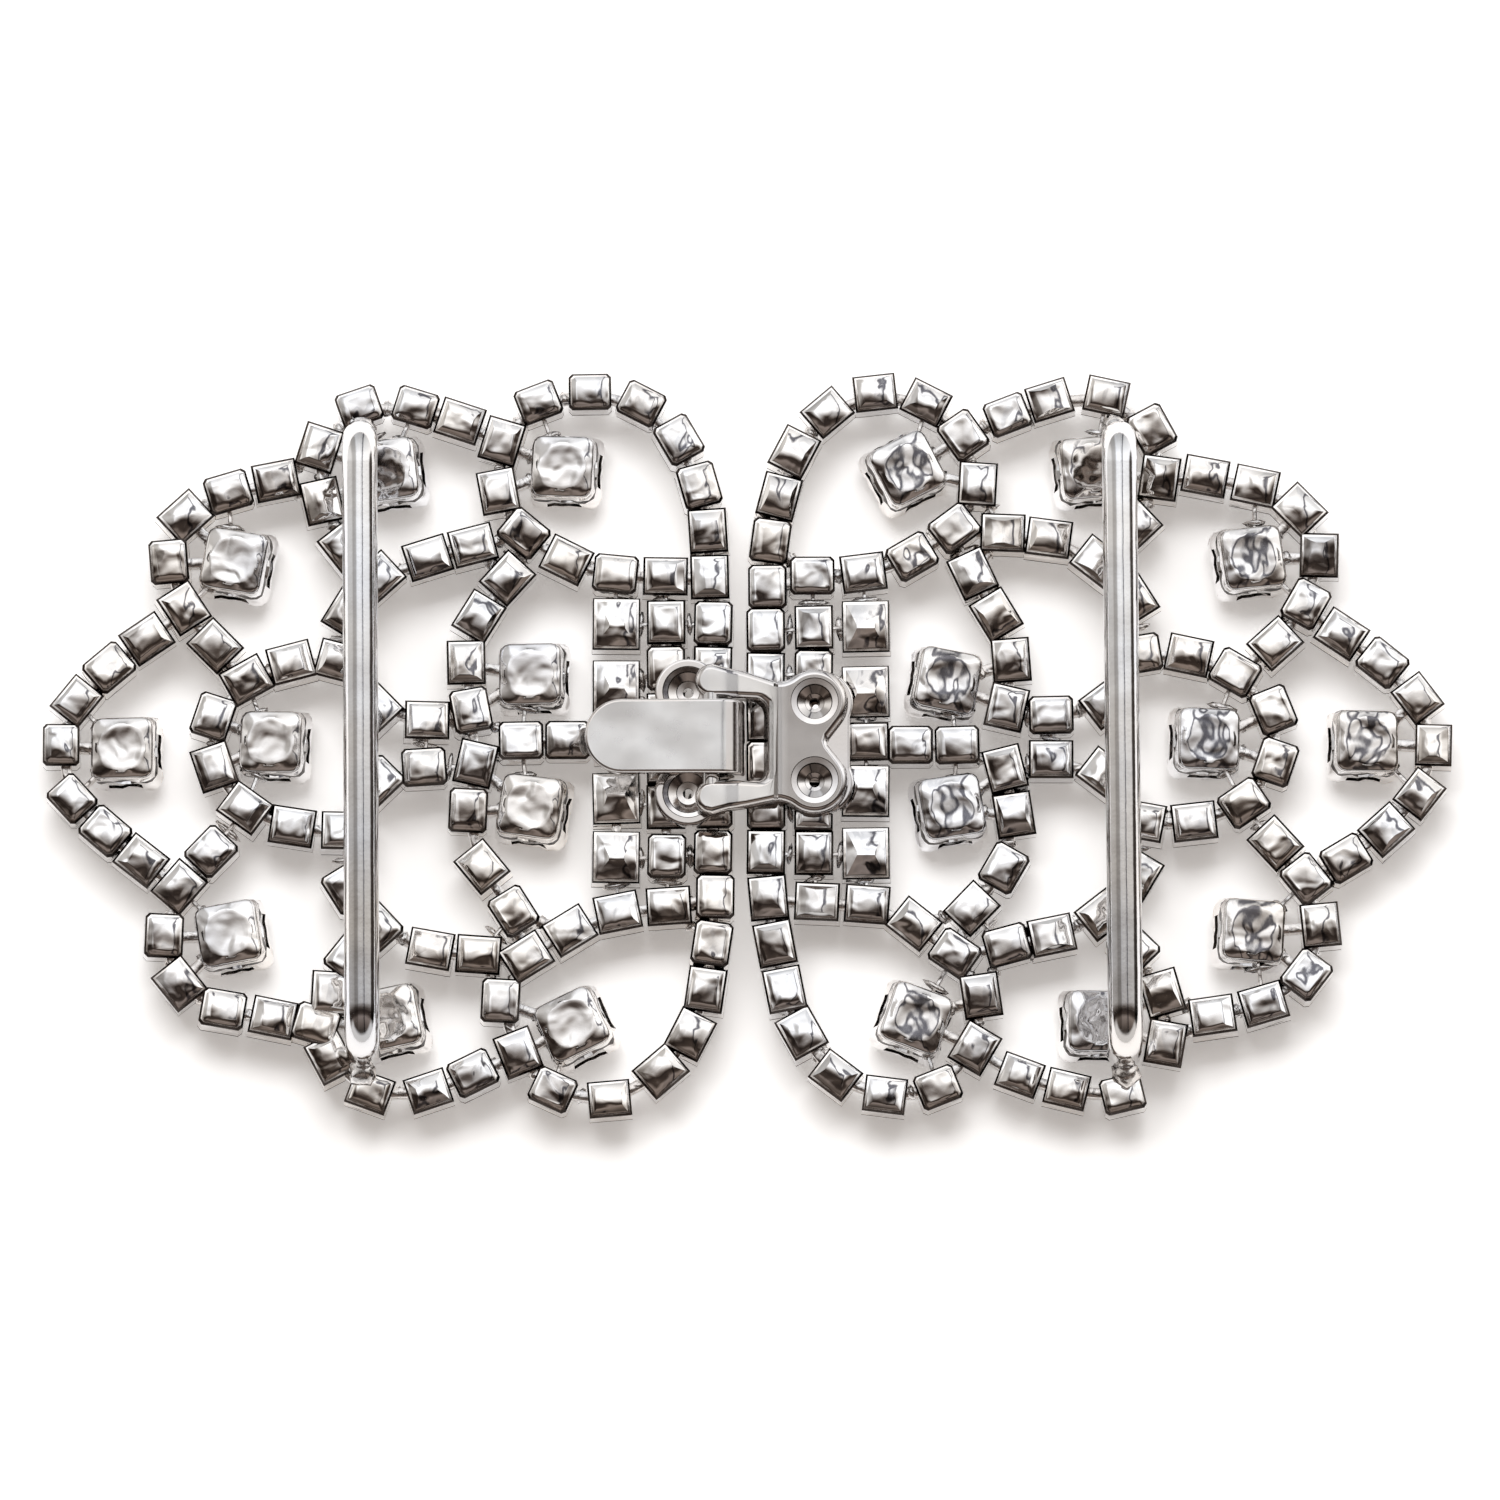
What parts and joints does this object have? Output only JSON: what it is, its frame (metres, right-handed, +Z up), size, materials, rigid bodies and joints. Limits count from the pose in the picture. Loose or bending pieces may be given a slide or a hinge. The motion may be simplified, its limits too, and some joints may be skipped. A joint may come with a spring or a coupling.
{
  "type": "interlocking clasp",
  "caption": "Two-part openwork rhinestone clasp: a folded hook on one half holds the eye plate of the other, with an upright strap bar on each half.",
  "frame": {"origin": "middle of the clasp's bounding box on the surface that it lies on, stones down", "axes": "+X from the hook half to the eye half, +Y along the strap bars, +Z up out of the clasp's back"},
  "size_m": [0.0882, 0.0474, 0.0101],
  "materials": {
    "polished_metal": "bright silver plating, mirror polished, slightly hammered",
    "crystal": "clear faceted stone with a silver foil back"
  },
  "bodies": {
    "left_half": {"left_frame": "polished_metal", "left_stone_1": "crystal", "left_stone_2": "crystal", "left_stone_3": "crystal", "left_stone_4": "crystal", "left_stone_5": "crystal", "left_stone_6": "crystal", "left_stone_7": "crystal", "left_stone_8": "crystal", "left_stone_9": "crystal", "left_stone_10": "crystal"},
    "right_half": {"right_frame": "polished_metal", "right_stone_1": "crystal", "right_stone_2": "crystal", "right_stone_3": "crystal", "right_stone_4": "crystal", "right_stone_5": "crystal", "right_stone_6": "crystal", "right_stone_7": "crystal", "right_stone_8": "crystal", "right_stone_9": "crystal", "right_stone_10": "crystal"}
  },
  "joints": [
    {"name": "hook_swing", "type": "hinge", "parent": "left_half", "child": "right_half", "pos_m": [-0.00225, 0, 0.00507], "axis": [0, -1, 0], "range_deg": [-10, 150]}
  ]
}
